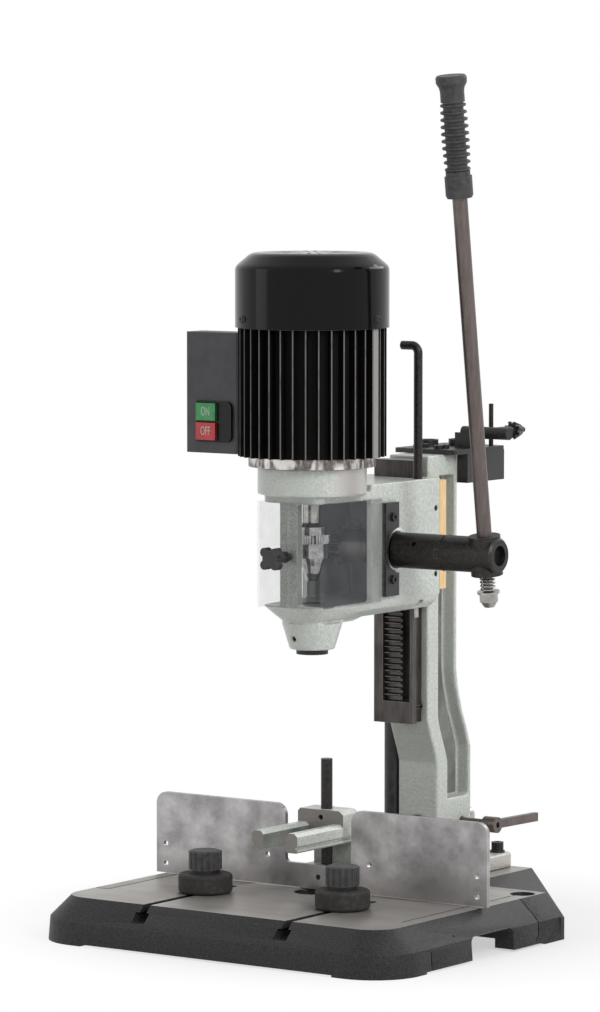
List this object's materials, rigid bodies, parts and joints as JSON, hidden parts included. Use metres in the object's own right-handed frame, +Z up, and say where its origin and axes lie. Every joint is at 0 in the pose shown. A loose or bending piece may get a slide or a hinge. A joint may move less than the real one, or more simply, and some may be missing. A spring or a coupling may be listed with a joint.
{
  "type": "benchtop mortiser",
  "caption": "Benchtop hollow-chisel mortiser with a cast base, column, geared sliding head under a finned motor, feed lever, fence, hold-down and work rollers.",
  "frame": {"origin": "midway between the two bench-bolt holes, on the bench plane", "axes": "+X to the operator's right, +Y from the operator towards the column, +Z up along the spindle"},
  "size_m": [0.448, 0.5201, 0.8864],
  "materials": {
    "textured_black": "black textured paint on cast iron, machined table on top",
    "hammered_green": "pale grey-green hammered paint on cast iron",
    "dark_steel": "oiled dark steel",
    "ground_steel": "ground and mottled steel plate",
    "black_oxide": "black oxide steel",
    "brown_steel": "handled brown-grey steel",
    "bright_steel": "plain bright steel",
    "chrome": "polished chrome",
    "cast_aluminium": "machined cast aluminium",
    "finned_black": "satin black painted aluminium, worn fin tips",
    "gloss_black": "gloss black enamel on pressed steel",
    "lamination": "laminated steel with copper windings",
    "black_plastic": "moulded black plastic",
    "black_rubber": "black rubber",
    "switch_shell": "dark moulded plastic",
    "green_plastic": "green moulded plastic",
    "red_plastic": "red moulded plastic",
    "tan_bronze": "dull tan bronze",
    "clear_guard": "clear polycarbonate"
  },
  "bodies": {
    "frame": {"base_casting": "textured_black", "column_casting": "hammered_green", "column_bolts": "black_oxide", "slide_way": "dark_steel", "frame_screws": "black_oxide", "rack": "dark_steel", "strut_cylinder": "black_plastic", "tool_holder": "black_plastic"},
    "head": {"head_casting": "hammered_green", "gib": "bright_steel", "way_keepers": "tan_bronze", "chisel_bushing": "black_oxide", "motor_end_bell": "cast_aluminium", "motor_housing": "finned_black", "stator": "lamination", "fan_cover": "gloss_black", "head_screws": "black_oxide", "motor_bearings": "bright_steel", "switch_box": "switch_shell", "switch_plate": "black_plastic", "cable_gland": "black_plastic", "guard_strips": "black_plastic", "strut_rod": "chrome", "strut_bracket": "hammered_green", "gear_cover": "hammered_green"},
    "spindle": {"rotor_shaft": "bright_steel", "cooling_fan": "black_plastic", "chuck_body": "chrome", "chuck_sleeve": "chrome"},
    "feed": {"feed_shaft": "dark_steel", "drive_collar": "black_oxide"},
    "step_gear": {"step_gear": "dark_steel"},
    "rack_pinion": {"rack_pinion": "dark_steel"},
    "hub": {"lever_hub": "black_oxide", "lever_spring": "bright_steel"},
    "lever": {"lever_rod": "brown_steel", "lever_grip": "black_rubber", "lever_nut": "bright_steel"},
    "guard_left": {"guard_left": "clear_guard"},
    "guard_right": {"guard_right": "clear_guard"},
    "guard_knob": {"guard_knob": "black_plastic"},
    "on_button": {"on_button": "green_plastic"},
    "off_button": {"off_button": "red_plastic"},
    "depth_stop": {"depth_stop_rod": "black_oxide"},
    "fence": {"fence_plate": "ground_steel", "fence_bracket": "hammered_green", "fence_screws": "black_oxide", "fence_bar": "bright_steel", "hold_down_rod": "black_oxide"},
    "hold_down": {"hold_down_fork": "hammered_green", "hold_down_screw": "black_oxide"},
    "lock_lever": {"lock_lever": "brown_steel"},
    "roller_left": {"roller_stud_left": "black_oxide"},
    "roller_left_wheel": {"roller_wheel_left": "black_rubber"},
    "roller_left_knob": {"roller_knob_left": "black_plastic"},
    "roller_right": {"roller_stud_right": "black_oxide"},
    "roller_right_wheel": {"roller_wheel_right": "black_rubber"},
    "roller_right_knob": {"roller_knob_right": "black_plastic"},
    "chuck_key": {"chuck_key": "black_oxide"},
    "small_hex_key": {"small_hex_key": "black_oxide"}
  },
  "joints": [
    {"name": "head_slide", "type": "slide", "parent": "frame", "child": "head", "axis": [0, 0, 1], "range_m": [-0.11, 0], "stiffness_N_per_m": 260, "springref_m": 1.15},
    {"name": "feed_turn", "type": "hinge", "parent": "head", "child": "feed", "pos_m": [0.06, -0.025, 0.396], "axis": [1, 0, 0], "range_deg": [-0.5, 107]},
    {"name": "step_gear_turn", "type": "hinge", "parent": "head", "child": "step_gear", "pos_m": [-0.03, -0.0077, 0.41404], "axis": [1, 0, 0], "range_deg": [-226, 0.5]},
    {"name": "rack_pinion_turn", "type": "hinge", "parent": "head", "child": "rack_pinion", "pos_m": [0, 0.028, 0.396], "axis": [1, 0, 0], "range_deg": [-0.5, 527]},
    {"name": "hub_pull", "type": "slide", "parent": "feed", "child": "hub", "axis": [1, 0, 0], "range_m": [0, 0.006]},
    {"name": "lever_lift", "type": "slide", "parent": "hub", "child": "lever", "axis": [0, -0.1357, 0.9907], "range_m": [0, 0.006], "stiffness_N_per_m": 1600, "springref_m": -0.012, "deforming": ["lever_spring"]},
    {"name": "spindle_spin", "type": "hinge", "parent": "head", "child": "spindle", "pos_m": [0, -0.113, 0.5], "axis": [0, 0, 1], "continuous": true},
    {"name": "guard_left_open", "type": "hinge", "parent": "head", "child": "guard_left", "pos_m": [-0.0461, -0.052, 0.396], "axis": [0, 0, 1], "range_deg": [-85, 0]},
    {"name": "guard_right_open", "type": "hinge", "parent": "head", "child": "guard_right", "pos_m": [0.0461, -0.052, 0.396], "axis": [0, 0, 1], "range_deg": [0, 85]},
    {"name": "guard_knob_turn", "type": "hinge", "parent": "head", "child": "guard_knob", "pos_m": [0, -0.173, 0.396], "axis": [0, 1, 0], "continuous": true},
    {"name": "on_button_press", "type": "slide", "parent": "head", "child": "on_button", "axis": [0, 1, 0], "range_m": [0, 0.003], "stiffness_N_per_m": 300, "springref_m": -0.002},
    {"name": "off_button_press", "type": "slide", "parent": "head", "child": "off_button", "axis": [0, 1, 0], "range_m": [0, 0.003], "stiffness_N_per_m": 300, "springref_m": -0.002},
    {"name": "depth_stop_slide", "type": "slide", "parent": "head", "child": "depth_stop", "axis": [0, 0, 1], "range_m": [-0.1, 0.04]},
    {"name": "fence_slide", "type": "slide", "parent": "frame", "child": "fence", "axis": [0, 1, 0], "range_m": [-0.02, 0.075]},
    {"name": "fence_lock_turn", "type": "hinge", "parent": "frame", "child": "lock_lever", "pos_m": [0.04, 0.131, 0.092], "axis": [1, 0, 0], "range_deg": [-20, 120]},
    {"name": "hold_down_slide", "type": "slide", "parent": "fence", "child": "hold_down", "axis": [0, 0, 1], "range_m": [-0.02, 0.045]},
    {"name": "chuck_key_lift", "type": "slide", "parent": "frame", "child": "chuck_key", "axis": [0, 0, 1], "range_m": [0, 0.06]},
    {"name": "small_hex_key_lift", "type": "slide", "parent": "frame", "child": "small_hex_key", "axis": [0, 0, 1], "range_m": [0, 0.07]},
    {"name": "roller_left_slide", "type": "slide", "parent": "frame", "child": "roller_left", "axis": [0, 1, 0], "range_m": [-0.06, 0.01]},
    {"name": "roller_left_spin", "type": "hinge", "parent": "roller_left", "child": "roller_left_wheel", "pos_m": [-0.088, -0.179, 0.057], "axis": [0, 0, 1], "continuous": true},
    {"name": "roller_left_knob_turn", "type": "hinge", "parent": "roller_left", "child": "roller_left_knob", "pos_m": [-0.088, -0.179, 0.08], "axis": [0, 0, 1], "continuous": true},
    {"name": "roller_right_slide", "type": "slide", "parent": "frame", "child": "roller_right", "axis": [0, 1, 0], "range_m": [-0.06, 0.01]},
    {"name": "roller_right_spin", "type": "hinge", "parent": "roller_right", "child": "roller_right_wheel", "pos_m": [0.088, -0.185, 0.057], "axis": [0, 0, 1], "continuous": true},
    {"name": "roller_right_knob_turn", "type": "hinge", "parent": "roller_right", "child": "roller_right_knob", "pos_m": [0.088, -0.185, 0.08], "axis": [0, 0, 1], "continuous": true}
  ],
  "couplings": [
    {"joint": "feed_turn", "follows": "head_slide", "rad_per_m": -16.807},
    {"joint": "step_gear_turn", "follows": "head_slide", "rad_per_m": 35.714},
    {"joint": "rack_pinion_turn", "follows": "head_slide", "rad_per_m": -83.333}
  ]
}
